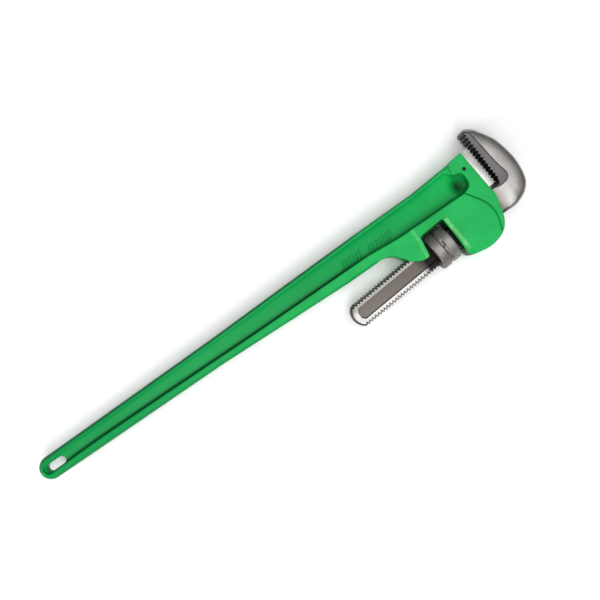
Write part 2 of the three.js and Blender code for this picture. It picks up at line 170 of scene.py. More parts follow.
# The cast and forged shapes are built from distances to their outlines, then skinned.
def edgeDistance(outline, x, y):
    # distance to an outline, negative inside it
    best = np.full(x.shape, 1e12)
    inside = np.zeros(x.shape, bool)
    for (ax, ay), (bx, by) in zip(outline, np.roll(outline, -1, axis=0)):
        ex, ey = bx - ax, by - ay
        length = ex * ex + ey * ey
        if length < 1e-12:
            continue
        along = np.clip(((x - ax) * ex + (y - ay) * ey) / length, 0, 1)
        best = np.minimum(best, (x - ax - along * ex) ** 2 + (y - ay - along * ey) ** 2)
        if ay != by:
            inside ^= ((ay <= y) != (by <= y)) & (x < ax + (y - ay) / (by - ay) * ex)
    return np.where(inside, -1, 1) * np.sqrt(best)


def softMax(a, b, reach):
    return np.maximum(a, b) + np.maximum(reach - np.abs(a - b), 0) ** 2 / (4 * reach)


def softMin(a, b, reach):
    return -softMax(-a, -b, reach)


def roundedSlab(edge, height, radius):
    a, b = edge + radius, height + radius
    return np.minimum(np.maximum(a, b), 0) + np.hypot(np.maximum(a, 0), np.maximum(b, 0)) - radius


def ramp(value, low, high):
    t = np.clip((value - low) / (high - low), 0, 1)
    return t * t * (3 - 2 * t)


def spread(*stretches):
    # grid lines: (start, end, step) stretches one after another
    lines = []
    for start, end, step in stretches:
        lines.append(np.linspace(start, end, max(2, int(round((end - start) / step)) + 1)))
    return np.unique(np.round(np.concatenate(lines), 4))


def skin(field, xs, ys, zs):
    # one point in each grid cell that the surface passes through, joined into squares
    inside = field < 0
    axes = (xs, ys, zs)
    counts = np.zeros([n - 1 for n in field.shape], np.int8)
    for i in (0, 1):
        for j in (0, 1):
            for k in (0, 1):
                counts += inside[i:inside.shape[0] - 1 + i, j:inside.shape[1] - 1 + j, k:inside.shape[2] - 1 + k]
    active = (counts > 0) & (counts < 8)
    number = np.full(active.shape, -1, np.int64)
    number[active] = np.arange(active.sum())
    cell = np.array(np.nonzero(active))
    total = np.zeros((cell.shape[1], 3))
    hits = np.zeros(cell.shape[1])
    for axis in range(3):
        for a in (0, 1):
            for b in (0, 1):
                first = cell.copy()
                first[(axis + 1) % 3] += a
                first[(axis + 2) % 3] += b
                second = first.copy()
                second[axis] += 1
                f0, f1 = field[tuple(first)], field[tuple(second)]
                crossed = (f0 < 0) != (f1 < 0)
                share = np.where(crossed, f0 / np.where(crossed, f0 - f1, 1), 0)
                point = np.array([axes[d][first[d]] for d in range(3)])
                point[axis] += share * (axes[axis][second[axis]] - axes[axis][first[axis]])
                total += (point * crossed).T
                hits += crossed
    points = total / hits[:, None]
    faces = []
    for axis in range(3):
        b, c = (axis + 1) % 3, (axis + 2) % 3
        low = np.take(inside, range(field.shape[axis] - 1), axis)
        high = np.take(inside, range(1, field.shape[axis]), axis)
        at = np.array(np.nonzero(low != high))
        fits = (at[b] > 0) & (at[c] > 0) & (at[b] < field.shape[b] - 1) & (at[c] < field.shape[c] - 1)
        at = at[:, fits]
        ring = []
        for db, dc in ((-1, -1), (0, -1), (0, 0), (-1, 0)):
            corner = at.copy()
            corner[b] += db
            corner[c] += dc
            ring.append(number[tuple(corner)])
        ring = np.column_stack(ring)
        outward = low[tuple(at)]
        ring[~outward] = ring[~outward][:, ::-1]
        faces.append(ring)
    return points, np.concatenate(faces)


# handle: one casting, the grip and the housing
handleShape = {
    "endX": -425.7, "endRadius": 16.4, "endY": 7.6,
    "endHalfThickness": 11, "thicknessPerMm": 6 / 553,
    "edgeRound": (8.5, 6), "wallDraft": 0.03,
    "webHalfThickness": 4.6, "rimRound": 2.0, "rimWidth": 6.2,
    "lowerReach": (3.5, 4.5), "upperReach": (4, 7),  # how wide the web's fillets are, at the end and at the head
    "webRise": (4.8, 9.8),  # how far the web climbs to its upper side
    "plateHalfThickness": 24.5, "plateRound": 1.7, "seatHalfThickness": 22.5,
    "rampX": (127, 175.8, 178), "ridgeDrop": 1.5, "ridgeLean": 0.138, "ridgeLeanFromY": -25,
    "wallU": 216.6, "wallTopW": -38.6, "wallChamferWidth": 6.6, "wallChamferDepth": 6.4,
    "windowRib": (179.5, 217, -41.3, -36.5, 9),
    "pocketSize": (8, 12),
    "shankTunnel": (206, 340, -86.8, -46.2, 11.6), "lobeTunnel": (90, 190, -127, -46.2, 11.6),
    "leafGroove": (225, 340, -47.2, -43.8, 6.7), "tongueSlot": (275.65, 340, -22.35, 8.35, 4.85),
    "springBore": (272, 7.1, -44.8, -32.3), "pinHole": (281.5, -5, 2.6),
    "pocketX": 266, "pocketY": 3, "pocketDepth": 3.6,
    "slotCentreX": -399.8, "slotReach": 9, "slotRadius": 5.5,
    "gridHead": 0.9, "gridGrip": 4, "gridMarks": 0.75, "gridAcross": 0.85,
}
# painted shade and painted highlight on the handle: shade in the creases, the pocket and the window, darker sides and
# grip, bright edges
handlePaintedLight = {
    "windowShade": (176, 220, -38.6, 16.5), "footShadeWidth": 3, "footShade": 0.85,
    "pocketShadeSize": (10, 12), "stepShade": 0.7,
    "sideShade": 0.75, "lowerSideShade": 0.7, "sideFadeX": (60, 160), "sideEndX": 250,
    "gripShadeX": (150, -330), "channelShade": 0.75, "channelShadeX": (120, 290),
    "paintedHighlightWallLowW": (-97, -84), "paintedHighlightAboveZ": 17, "paintedHighlightRidge": 0.55,
}
webMarks = {
    "groups": [(116, 150, 7, 2.9), (74, 101, 6, 4.6)],
    "halfLength": 4.8, "lean": 1.6, "radius": 1.0, "height": 2.1,
}
lobe = [(126, -29.6, 6), (137, -38, 6), (147, -55, 6), (160, -66.2, 8), (172.3, -66.8, 4)]
window = [(178.4, -38.6, 3), (216.6, -38.6, 4)]
collar = [(214.6, -101.5, 9), (247, -110, 13)]
stepLine = [(267, -104.5), (278, -78, 9), (276, -58, 8), (265, -38, 6)]


def leanedCorners(corners):
    return [(*leaned(c[0], c[1]), *c[2:]) for c in corners]


def endArc(centreX, centreY, radius, steps=14):
    angles = np.linspace(math.pi / 2, 3 * math.pi / 2, steps)
    return [(centreX + radius * math.cos(a), centreY + radius * math.sin(a)) for a in angles]


def storeShare(piece, name, share):
    layer = piece.data.attributes.new(name, "FLOAT", "POINT")
    layer.data.foreach_set("value", np.clip(share, 0, 1).astype(np.float32))


def markPaintedLight(piece, points, gripOutline, scoopOutline, plateOutline, s, marks):
    # stores on each point how much painted shade and painted highlight the paint takes there
    x, y, z = points[:, 0], points[:, 1], np.abs(points[:, 2])
    u, w = x * leanCos + y * leanSin, -x * leanSin + y * leanCos
    depth = -edgeDistance(scoopOutline, x, y)
    gripEdge = edgeDistance(gripOutline, x, y)
    plateEdge = edgeDistance(plateOutline, x, y)
    middle = np.interp(x, (-409, 0, 262), (9.5, 10, 8))

    # painted shade in the channel's foot, the deep pocket, the nut's window and the housing's step
    foot = ramp(depth, -0.8, 0.2) * (y < middle)
    foot = foot * ramp(depth, marks["footShadeWidth"] + 2.8, marks["footShadeWidth"] - 1.6) * ramp(x, -402, -385)
    foot *= 1 - 0.5 * ramp(x, 60, 130)
    alongPocket, acrossPocket = marks["pocketShadeSize"]
    pocket = np.exp(-((x - s["pocketX"]) / alongPocket) ** 2 - ((y - s["pocketY"]) / acrossPocket) ** 2)
    pocket = pocket * ramp(depth, -1.5, 0.5)
    startU, endU, belowW, withinZ = marks["windowShade"]
    inWindow = ramp(u, startU - 1, startU + 1) * ramp(u, endU + 1, endU - 1)
    inWindow *= ramp(w, belowW + 1.2, belowW - 0.2) * ramp(z, withinZ + 1.5, withinZ - 1.5)
    step = ramp(np.abs(plateEdge), 1.1, 0.3) * (x > 255) * (z < s["plateHalfThickness"] - 1.2) * marks["stepShade"]
    storeShare(piece, "creaseShade", np.maximum.reduce([marks["footShade"] * foot, pocket, inWindow, step]))

    # painted shade: the grip's outer sides are darker, most on the upper one
    side = np.where(y > middle, ramp(gripEdge, -5.6, -1.8), ramp(gripEdge, -3, -0.4) * marks["lowerSideShade"])
    side *= (1 - 0.6 * ramp(x, *marks["sideFadeX"])) * (x < marks["sideEndX"])
    storeShare(piece, "outerSide", side * ramp(plateEdge, -1, 1.5) * marks["sideShade"])
    # painted shade: the grip grows darker towards its end, and inside its channel except near the head
    gripShade = ramp(x, *marks["gripShadeX"])
    channel = marks["channelShade"] * ramp(depth, -1, 1.5) * (1 - ramp(x, *marks["channelShadeX"]))
    storeShare(piece, "gripShade", np.maximum(gripShade, channel))

    # painted highlight on the window's front wall and on the ridge of the housing
    wall = ramp(u, s["wallU"], s["wallU"] + 2) * ramp(u, s["wallU"] + 6.4, s["wallU"] + 4)
    wall *= ramp(w, s["wallTopW"] + 1, s["wallTopW"] - 3) * ramp(w, *marks["paintedHighlightWallLowW"])
    wall *= z > marks["paintedHighlightAboveZ"]
    ridgeX = x + s["ridgeLean"] * np.clip(s["ridgeLeanFromY"] - y, 0, 40)
    ridge = ramp(np.abs(ridgeX - s["rampX"][1]), 2.2, 0.8) * (z > 20) * (y < 0) * (w > -66)
    storeShare(piece, "paintedHighlight", np.maximum(wall, ridge * marks["paintedHighlightRidge"]))


def makeHandle(s):
    endCentre = s["endX"] + s["endRadius"]
    gripOutline = np.array(
        endArc(endCentre, s["endY"], s["endRadius"])
        + [(-137, -11.7), (0, -17), (68, -19.4), (280, -19.4), (280, 35.8), (262, 35.6), (206, 31.4),
           (110, 30.8), (0, 28.8), (-137, 25.9)]
    )
    scoopOutline = np.array(
        endArc(endCentre, s["endY"] + 1.4, s["endRadius"] - s["rimWidth"] - 1.4)
        + [(-370, 1.6), (-330, 2.0), (-200, 0), (-68, -2.6), (110, -3.9), (160, -7.8), (262, -8.6), (272, -6.5),
           (276, 0), (276, 10), (272, 17), (262, 22), (256, 30), (206, 27.2), (0, 24.6)]
    )
    head = leanedCorners(lobe + window + collar + stepLine)
    plateOutline = roundedOutline([(116, -19.4), *head, (262, -8.6), (160, -7.8), (116, -4.4)])
    seatOutline = roundedOutline([
        *leanedCorners([(224, -44), *collar, (275, -103, 14), (285, -84, 6), (293.4, -58, 4),
                        (292.65, -46.2), (291.85, 14.8)]),
        (271, 37.4, 5), (264.5, 30, 3), (262, 18, 6), (275.5, 16, 5), (276, -4, 8), (262, -8.6), (226, -8.3),
    ])
    fine = s["gridHead"]
    xs = spread((-429, -372, fine), (-372, 66, s["gridGrip"]), (66, 158, s["gridMarks"]), (158, 300, fine))
    ys = spread((-98, 44, s["gridAcross"]))
    zs = spread((-26.3, 26.3, s["gridAcross"]))
    x, y = np.meshgrid(xs, ys, indexing="ij")
    z = np.abs(zs)[None, None, :]
    gripHalf = s["endHalfThickness"] + s["thicknessPerMm"] * (xs - s["endX"])
    gripHalf = gripHalf[:, None, None]
    gripEdge = edgeDistance(gripOutline, x, y)[:, :, None]
    scoopEdge = edgeDistance(scoopOutline, x, y)
    alongPocket, acrossPocket = s["pocketSize"]
    pocket = np.exp(-((x - s["pocketX"]) / alongPocket) ** 2 - ((y - s["pocketY"]) / acrossPocket) ** 2)
    webHalf = s["webHalfThickness"] - s["pocketDepth"] * pocket
    lowLine = np.interp(x, (-409, -370, -330, -200, -68, 110, 160, 262), (0.2, 1.6, 2.0, 0, -2.6, -3.9, -7.8, -8.6))
    highLine = np.interp(x, (-409, 0, 206, 256), (17.8, 24.6, 27.2, 30))
    toHead = ramp(x, -425, 60)
    upper = ramp((y - lowLine) / (highLine - lowLine), 0.25, 0.8)
    reach = (1 - upper) * np.interp(toHead, (0, 1), s["lowerReach"]) + upper * np.interp(toHead, (0, 1), s["upperReach"])
    across = np.clip((y - lowLine) / (highLine - lowLine), 0, 1)
    webHalf = webHalf + np.interp(toHead, (0, 1), s["webRise"]) * across ** 1.3 * (1 - pocket)
    scoop = softMax(scoopEdge[:, :, None], webHalf[:, :, None] - z, reach[:, :, None])
    edgeRound = np.interp(xs, (s["endX"], 60), s["edgeRound"])[:, None, None]
    body = roundedSlab(gripEdge + s["wallDraft"] * z, z - gripHalf, edgeRound)
    body = softMax(body, -scoop, s["rimRound"])

    # raised bars on the web
    depth = np.minimum(scoopEdge, 0)
    rise = np.zeros_like(depth)
    for _ in range(4):
        rise = np.maximum(reach - (-rise - depth), 0) ** 2 / (4 * reach)
    bars = np.full(x.shape, 1e3)
    for first, last, count, middleY in webMarks["groups"]:
        for centre in np.linspace(first, last, count):
            half, slant = webMarks["halfLength"], webMarks["lean"]
            t = np.clip((y - middleY) / half, -1, 1)
            bars = np.minimum(bars, np.hypot(x - centre - slant * t, y - middleY - half * t) - webMarks["radius"])
    near = bars < 6
    if near.any():
        top = webHalf + rise + webMarks["height"]
        rows = np.nonzero(near.any(axis=1))[0]
        part = slice(rows[0], rows[-1] + 1)
        raised = roundedSlab(bars[part][:, :, None], z - top[part][:, :, None], 0.45)
        body[part] = softMin(body[part], raised, 0.8)

    # housing plate and the lower seat block in front of it
    rampFoot = s["endHalfThickness"] + s["thicknessPerMm"] * (s["rampX"][0] - s["endX"])
    top = s["plateHalfThickness"]
    headPart = xs > 105
    hx, hy = x[headPart], y[headPart]
    ridgeX = hx + s["ridgeLean"] * np.clip(s["ridgeLeanFromY"] - hy, 0, 40)
    plateHalf = np.interp(ridgeX, s["rampX"], (rampFoot, top - s["ridgeDrop"], top))[:, :, None]
    plate = roundedSlab(edgeDistance(plateOutline, hx, hy)[:, :, None] + s["wallDraft"] * z,
                        z - plateHalf, s["plateRound"])
    seat = roundedSlab(edgeDistance(seatOutline, hx, hy)[:, :, None] + s["wallDraft"] * z * 0.5,
                       z - s["seatHalfThickness"], s["plateRound"])
    whole = softMin(np.minimum(body[headPart], plate), seat, 0.8)

    # what is cut out for the other pieces
    u, w = hx * leanCos + hy * leanSin, -hx * leanSin + hy * leanCos
    u, w = u[:, :, None], w[:, :, None]

    def box(lowU, highU, lowW, highW, halfZ):
        return np.maximum(np.maximum(lowU - u, u - highU), np.maximum(np.maximum(lowW - w, w - highW), z - halfZ))

    slope = s["wallChamferWidth"] / s["wallChamferDepth"]
    chamferFoot = s["plateHalfThickness"] - s["wallChamferDepth"]
    wallChamfer = np.maximum(np.maximum((u - s["wallU"] - slope * (z - chamferFoot)) * 0.7, s["wallU"] - 20 - u),
                             np.maximum(chamferFoot - z, w - s["wallTopW"]))
    whole = softMin(whole, box(*s["windowRib"]), 0.6)
    boreU, boreRadius, boreLowW, boreHighW = s["springBore"]
    pinU, pinW, pinRadius = s["pinHole"]
    cuts = [
        wallChamfer,
        box(*s["shankTunnel"]),
        box(*s["lobeTunnel"]),
        box(*s["leafGroove"]),
        np.maximum(np.hypot(u - boreU, z) - boreRadius, np.maximum(boreLowW - w, w - boreHighW)),
        box(*s["tongueSlot"]),
        np.hypot(u - pinU, w - pinW) - pinRadius,
    ]
    for cut in cuts:
        whole = softMax(whole, -cut, 0.7)
    body[headPart] = whole
    slot = np.hypot(np.maximum(np.abs(x - s["slotCentreX"]) - s["slotReach"], 0), y - s["endY"]) - s["slotRadius"]
    body = softMax(body, -slot[:, :, None], 1.6)
    points, faces = skin(body, xs, ys, zs)
    piece = newPiece("handle_casting", toRow(points), faces, "handle", ["handle"])
    markPaintedLight(piece, points, gripOutline, scoopOutline, plateOutline, s, handlePaintedLight)
    smooth = piece.modifiers.new("smooth", "SMOOTH")
    smooth.factor = 0.5
    smooth.iterations = 2
    return bakeModifiers(piece)


handleCasting = makeHandle(handleShape)
print("handle made:", len(handleCasting.data.polygons), "faces")


def threadRadius(x, angle, root, crest, rootWidth, crestWidth, pitch=5.08):
    # a trapezium ridge that winds once per pitch
    offset = np.mod(x / pitch - angle / (2 * math.pi) + 0.5, 1.0) - 0.5
    gap = np.abs(offset) * pitch
    share = np.clip((rootWidth / 2 - gap) / ((rootWidth - crestWidth) / 2), 0, 1)
    return root + (crest - root) * share


def tube(rows, closed=False):
    # rows of rings: rows is (count, around, 3); the rings are joined, and capped unless they close on themselves
    count, around, _ = rows.shape
    faces = []
    last = count if closed else count - 1
    for i in range(last):
        a, b = i * around, ((i + 1) % count) * around
        for j in range(around):
            k = (j + 1) % around
            faces.append([a + j, a + k, b + k, b + j])
    if not closed:
        faces.append(list(range(around))[::-1])
        faces.append(list(range((count - 1) * around, count * around)))
    return rows.reshape(-1, 3), faces


# hook jaw: forged head on a threaded shank
shankShape = {
    "axisY": -68.2, "endX": 38.5, "threadEndX": 232, "topX": 296,
    "halfThickness": 11, "crest": 18, "root": 16.3, "plain": 17.4,
    "ridgeRoot": 3.6, "ridgeCrest": 1.5, "stepAlong": 0.42, "around": 112,
    "endRound": 15, "endBevel": 4.5,
    "recessStartX": 49, "recessEndX": 236, "recessHalfWidth": 9, "recessDepth": 2.6,
    "lowerSlope": 1.3, "upperSlope": 0.7,
}


def makeShank(s):
    xs = np.arange(s["endX"] - 4, s["topX"], s["stepAlong"])
    angles = np.linspace(0, 2 * math.pi, s["around"], endpoint=False)
    x, a = np.meshgrid(xs, angles, indexing="ij")
    threaded = threadRadius(x, a, s["root"], s["crest"], s["ridgeRoot"], s["ridgeCrest"])
    plain = ramp(x, s["threadEndX"] - 1.5, s["threadEndX"] + 1.5)
    radius = threaded * (1 - plain) + s["plain"] * plain
    rings = np.stack([x, s["axisY"] + radius * np.cos(a), radius * np.sin(a)], axis=2)
    points, faces = tube(rings)
    piece = newPiece("hook_jaw_forging", toRow(points, True), [f[::-1] for f in faces], "hook_jaw",
                     ["hook_jaw"])
    reach = s["crest"] + 0.3
    turn = np.linspace(math.pi / 2, 1.5 * math.pi, 28)
    roundEnd = np.column_stack([s["endX"] + s["endRound"] * (1 + np.cos(turn)), s["axisY"] + reach * np.sin(turn)])
    blank = np.vstack([roundEnd, [(s["topX"] + 30, s["axisY"] - reach), (s["topX"] + 30, s["axisY"] + reach)]])
    blankPiece = toolSolid(*extruded(blank, -s["halfThickness"], s["halfThickness"]))
    softenEdges(blankPiece, s["endBevel"], 4, 60)
    bakeModifiers(blankPiece)
    combine(piece, [blankPiece], "INTERSECT")
    startX, endX, half = s["recessStartX"], s["recessEndX"], s["recessHalfWidth"]
    recess = roundedOutline([
        (startX + 4, s["axisY"] - half, 1.2), (endX, s["axisY"] - half, 5), (endX, s["axisY"] + half, 5),
        (startX + 5, s["axisY"] + half, 1.2), (startX + 0.3, s["axisY"] + half - 4.2, 1.2),
        (startX, s["axisY"] - half + 4.6, 1.2),
    ], 5)
    # the floor is narrower than the mouth, so that the recess has sloping sides
    floorHeight, mouth = s["halfThickness"] - s["recessDepth"], s["halfThickness"]
    narrowed = recess.copy()
    narrowed[:, 1] += np.where(recess[:, 1] < s["axisY"], s["lowerSlope"], -s["upperSlope"])
    narrowed[:, 0] += np.where(recess[:, 0] < startX + half, s["upperSlope"], 0)
    front = layered([narrowed, recess, recess], [floorHeight, mouth, 30])
    back = layered([recess, recess, narrowed], [-30, -mouth, -floorHeight])
    combine(piece, [toolSolid(*front), toolSolid(*back)], "DIFFERENCE")
    return piece


hookShape = {
    "halfThickness": 17, "bodyHalfThickness": 16.5, "crown": 4.6, "crownReach": 9,
    "chamfer": 3.0, "neckStartU": 291, "neckEndU": 316,
    "toothTop": (311.7, 30.5), "toothBottom": (309.2, -45), "toothCount": 14, "toothDepth": 2.6,
    "grid": 0.7,
}
toothBand = [(300, -53.5, 6), (317, -54.5, 6), (325, -48, 6), (321.8, -30, 14), (320.3, 0, 20), (319.5, 27, 6),
             (314, 39, 4), (300, 39)]


def hookOutline(openLeft=False):
    spline = [(328.5, 28), (336.5, 13.6), (342.6, 0), (346, -17), (347.6, -36), (345.5, -55), (340, -71),
              (329, -81.5), (314, -87)]
    curve = []
    for i in range(len(spline) - 1):
        p = [np.array(spline[min(max(i + d, 0), len(spline) - 1)], float) for d in (-1, 0, 1, 2)]
        for t in np.linspace(0, 1, 7)[:-1]:
            curve.append(0.5 * (2 * p[1] + (p[2] - p[0]) * t + (2 * p[0] - 5 * p[1] + 4 * p[2] - p[3]) * t * t
                                + (3 * p[1] - p[0] - 3 * p[2] + p[3]) * t ** 3))
    bottom = [(314, -87), (308, -87.8), (302, -87.5), (296, -86.6), (278, -85.6)]
    if openLeft:
        return np.array(curve + bottom + [(260, -86), (260, 37), (317, 37)])
    left = [(278, -50.8), (297, -50.8), (303, -51.6), (307, -50.6), (309, -47.5), (309.2, -45), (311.7, 30.5),
            (312, 34), (313.5, 36.3), (317, 37), (321.5, 35.2), (325.3, 32.2)]
    return np.array(curve + bottom + left)


def makeHookHead(s):
    step = s["grid"]
    us = spread((277, 352, step))
    ws = spread((-93, 41, step))
    zs = spread((-18.5, 18.5, step))
    u, w = np.meshgrid(us, ws, indexing="ij")
    z = np.abs(zs)[None, None, :]
    edge = edgeDistance(hookOutline(), u, w)
    rimEdge = edgeDistance(hookOutline(True), u, w)
    neck = ramp(u, s["neckStartU"], s["neckEndU"])
    crown = s["crown"] * np.exp(np.minimum(rimEdge, 0) / s["crownReach"])
    half = 11 + (s["bodyHalfThickness"] - 11) * neck - crown * neck
    head = np.maximum(edge[:, :, None], (z - half[:, :, None]) * 0.94)
    chamfer = (rimEdge[:, :, None] + z - half[:, :, None] + s["chamfer"]) * 0.7071
    head = softMax(head, chamfer, 0.9)
    band = roundedOutline(toothBand)
    bandEdge = edgeDistance(band, u, w)[:, :, None]
    pad = np.maximum(np.maximum(bandEdge, edge[:, :, None]), z - s["halfThickness"])
    pad = softMax(pad, (rimEdge[:, :, None] + z - s["halfThickness"] + s["chamfer"] * 1.6) * 0.7071, 1.5)
    head = softMin(head, pad, 0.35)
    shank = np.maximum(np.hypot(w[:, :, None] + 68.2, z) - 17.4, z - 11)
    shank = np.maximum(shank, u[:, :, None] - 312)
    head = softMin(head, shank, 1.5)
    head = np.maximum(head, 280 - u[:, :, None])
    points, faces = skin(head, us, ws, zs)
    piece = toolSolid(toRow(points, True), faces.tolist())
    smooth = piece.modifiers.new("smooth", "SMOOTH")
    smooth.factor = 0.5
    smooth.iterations = 2
    return bakeModifiers(piece)


def toothComb(top, bottom, count, depth, back, halfZ):
    # the space between the teeth, as one solid: teeth lean as a saw's do
    top, bottom = np.array(top, float), np.array(bottom, float)
    outline = [(bottom[0] - back, bottom[1])]
    for tooth in range(count):
        for share, cut in ((0.07, 0), (0.6, depth), (0.93, 0)):
            at = bottom + (top - bottom) * (tooth + share) / count
            outline.append((at[0] + cut, at[1]))
    outline.append((top[0] - back, top[1]))
    return toolSolid(*extruded(np.array(outline), -halfZ, halfZ))


def makeHookJaw():
    piece = makeShank(shankShape)
    s = hookShape
    head = makeHookHead(s)
    comb = toothComb(s["toothTop"], s["toothBottom"], s["toothCount"], s["toothDepth"], 12, 19)
    combine(head, [comb], "DIFFERENCE")
    combine(piece, [head], "UNION")
    return piece


hookJaw = makeHookJaw()
print("hook jaw made:", len(hookJaw.data.polygons), "faces")


# heel jaw and the rolled pin that holds it
heelShape = {
    "baseU": 293, "tipU": 305.2, "lowW": -45.4, "highW": 14.6, "halfThickness": 16,
    "toothCount": 11, "toothDepth": 2.4, "edge": 0.5,
    "tongue": (276, 295, -22, 8, 4.5),
    "pin": (281.5, -5, 2.25, 1.2, 21.6), "pinSlit": 0.9, "pinBevel": 0.35,
}


def makeHeelJaw(s):
    outline = [(s["baseU"], s["lowW"]), (s["tipU"], s["lowW"])]
    for tooth in range(s["toothCount"]):
        for share, cut in ((0.07, 0), (0.4, s["toothDepth"]), (0.93, 0)):
            outline.append((s["tipU"] - cut, s["lowW"] + (s["highW"] - s["lowW"]) * (tooth + share) / s["toothCount"]))
    outline += [(s["tipU"], s["highW"]), (s["baseU"] + 1, s["highW"]), (s["baseU"], s["highW"] - 1)]
    points, faces = extruded(np.array(outline), -s["halfThickness"], s["halfThickness"])
    piece = newPiece("heel_jaw_plate", points, faces, "handle", ["heel_jaw"])
    lowU, highU, lowW, highW, halfZ = s["tongue"]
    tongue = roundedOutline([(lowU, lowW, 3), (highU, lowW), (highU, highW), (lowU, highW, 3)])
    combine(piece, [toolSolid(*extruded(tongue, -halfZ, halfZ))], "UNION")
    pinU, pinW, radius, _, _ = s["pin"]
    angles = np.linspace(0, 2 * math.pi, 40, endpoint=False)
    hole = np.column_stack([pinU + (radius + 0.35) * np.cos(angles), pinW + (radius + 0.35) * np.sin(angles)])
    combine(piece, [toolSolid(*extruded(hole, -20, 20))], "DIFFERENCE")
    softenEdges(piece, s["edge"] * 0.5, 2, 25)
    bakeModifiers(piece)
    piece.data.shade_smooth()
    return piece


def makeRollPin(s):
    pinU, pinW, outer, inner, half = s["pin"]
    slitOut, slitIn = math.asin(s["pinSlit"] / 2 / outer), math.asin(s["pinSlit"] / 2 / inner)
    a = np.linspace(slitOut, 2 * math.pi - slitOut, 40)
    b = np.linspace(2 * math.pi - slitIn, slitIn, 30)
    outline = np.vstack([
        np.column_stack([pinU + outer * np.cos(a), pinW + outer * np.sin(a)]),
        np.column_stack([pinU + inner * np.cos(b), pinW + inner * np.sin(b)]),
    ])
    points, faces = extruded(outline, -half, half)
    piece = newPiece("heel_jaw_roll_pin", points, faces, "handle", ["heel_jaw_pin"])
    softenEdges(piece, s["pinBevel"] * 0.5, 2, 50)
    return bakeModifiers(piece)


heelJaw = makeHeelJaw(heelShape)
rollPin = makeRollPin(heelShape)
print("heel jaw and pin made")


nutShape = {
    "startU": 179.5, "length": 30, "radius": 26, "axisW": -68.2,
    "chamfer": 1.5, "grooveWidth": 6.5, "grooveDepth": 1.9,
    "boreRoot": 16.7, "boreCrest": 18.4, "boreRidgeRoot": 4.3, "boreRidgeCrest": 2.2,
    "mouthRadius": 19.2, "mouthSink": 1.2,
    "notchCount": 6, "notchTurnDeg": 10, "notchHalfAlong": 2.9, "notchHalfRound": 6.2, "notchDepth": 2.6,
    "stepAlong": 0.4, "around": 240,
}


def makeNut(s):
    start, length, radius = s["startU"], s["length"], s["radius"]
    outerX = np.linspace(0, length, int(length / s["stepAlong"]) + 1)
    angles = np.linspace(0, 2 * math.pi, s["around"], endpoint=False)
    x, a = np.meshgrid(outerX, angles, indexing="ij")
    fromEnd = np.minimum(x, length - x)
    r = radius - np.maximum(s["chamfer"] - fromEnd, 0)
    middle = np.abs(x - length / 2)
    grooveSlope = s["grooveDepth"] / (s["grooveWidth"] / 2 - 0.8)
    r = softMin(r, radius - s["grooveDepth"] + np.maximum(middle - 0.8, 0) * grooveSlope, 0.5)
    pitch = 2 * math.pi / s["notchCount"]
    # angle 0 points up out of the top face, and turns towards the handle
    fromNotch = np.mod(a - math.radians(s["notchTurnDeg"]) + pitch / 2, pitch) - pitch / 2
    oval = np.hypot(fromNotch * radius / s["notchHalfRound"], (x - length / 2) / s["notchHalfAlong"])
    r = r - s["notchDepth"] * ramp(1.15 - oval, 0, 0.75)
    outer = np.stack([start + x, s["axisW"] + r * np.sin(a), r * np.cos(a)], axis=2)
    sink = s["mouthSink"]
    innerX = np.linspace(length - sink * 0.5, sink * 0.5, int(length / s["stepAlong"]) + 1)
    xi, ai = np.meshgrid(innerX, angles, indexing="ij")
    # the bore's angle is counted as the shank's is, so that their threads are in mesh
    bore = threadRadius(start + xi, math.pi / 2 - ai, s["boreRoot"], s["boreCrest"], s["boreRidgeRoot"],
                        s["boreRidgeCrest"])
    inner = np.stack([start + xi, s["axisW"] + bore * np.sin(ai), bore * np.cos(ai)], axis=2)
    flare = []
    for along in (length, 0.0):
        ring = np.stack([np.full_like(angles, start + along), s["axisW"] + s["mouthRadius"] * np.sin(angles),
                         s["mouthRadius"] * np.cos(angles)], axis=1)
        flare.append(ring[None])
    rows = np.concatenate([outer, flare[0], inner, flare[1]])
    points, faces = tube(rows, closed=True)
    return newPiece("nut_turned", toRow(points, True), faces, "adjusting_nut", ["adjusting_nut"])


nut = makeNut(nutShape)
print("nut made:", len(nut.data.polygons), "faces")


coilShape = {
    "centreU": 272, "lowW": -48.25, "highW": -32.5, "radius": 4.6, "wire": 0.8, "turns": 6.2, "closedTurns": 1.0,
    "squeezed": 0.83,
}


def makeCoil(s):
    steps = int(s["turns"] * 36)
    t = np.linspace(0, 1, steps + 1)
    turn = t * s["turns"]
    # the end turns lie close, and the pitch opens between them
    spacing = ramp(turn, 0.5, 1.5) * ramp(s["turns"] - turn, 0.5, 1.5)
    rise = np.cumsum(0.28 + spacing)
    rise = (rise - rise[0]) / (rise[-1] - rise[0])
    w = s["lowW"] + s["wire"] + (s["highW"] - s["lowW"] - 2 * s["wire"]) * rise
    a = turn * 2 * math.pi
    centre = np.column_stack([s["centreU"] + s["radius"] * np.cos(a), w, s["radius"] * np.sin(a)])
    tangent = np.gradient(centre, axis=0)
    tangent /= np.linalg.norm(tangent, axis=1)[:, None]
    outward = np.column_stack([np.cos(a), np.zeros_like(a), np.sin(a)])
    side = np.cross(tangent, outward)
    angles = np.linspace(0, 2 * math.pi, 12, endpoint=False)
    rings = (centre[:, None, :] + s["wire"] * (np.cos(angles)[None, :, None] * outward[:, None, :]
                                               + np.sin(angles)[None, :, None] * side[:, None, :]))
    points, faces = tube(rings)
    piece = newPiece("coil_spring_wire", toRow(points, True), faces, "spring_carrier", ["coil_spring"])
    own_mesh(piece)
    return piece


coilSpring = makeCoil(coilShape)
print("coil spring made")


def startMaterial(name):
    material = bpy.data.materials.new(name)
    material.use_nodes = True
    tree = material.node_tree
    coordinates = tree.nodes.new("ShaderNodeTexCoord")
    return material, tree, tree.nodes["Principled BSDF"], coordinates.outputs["Object"]


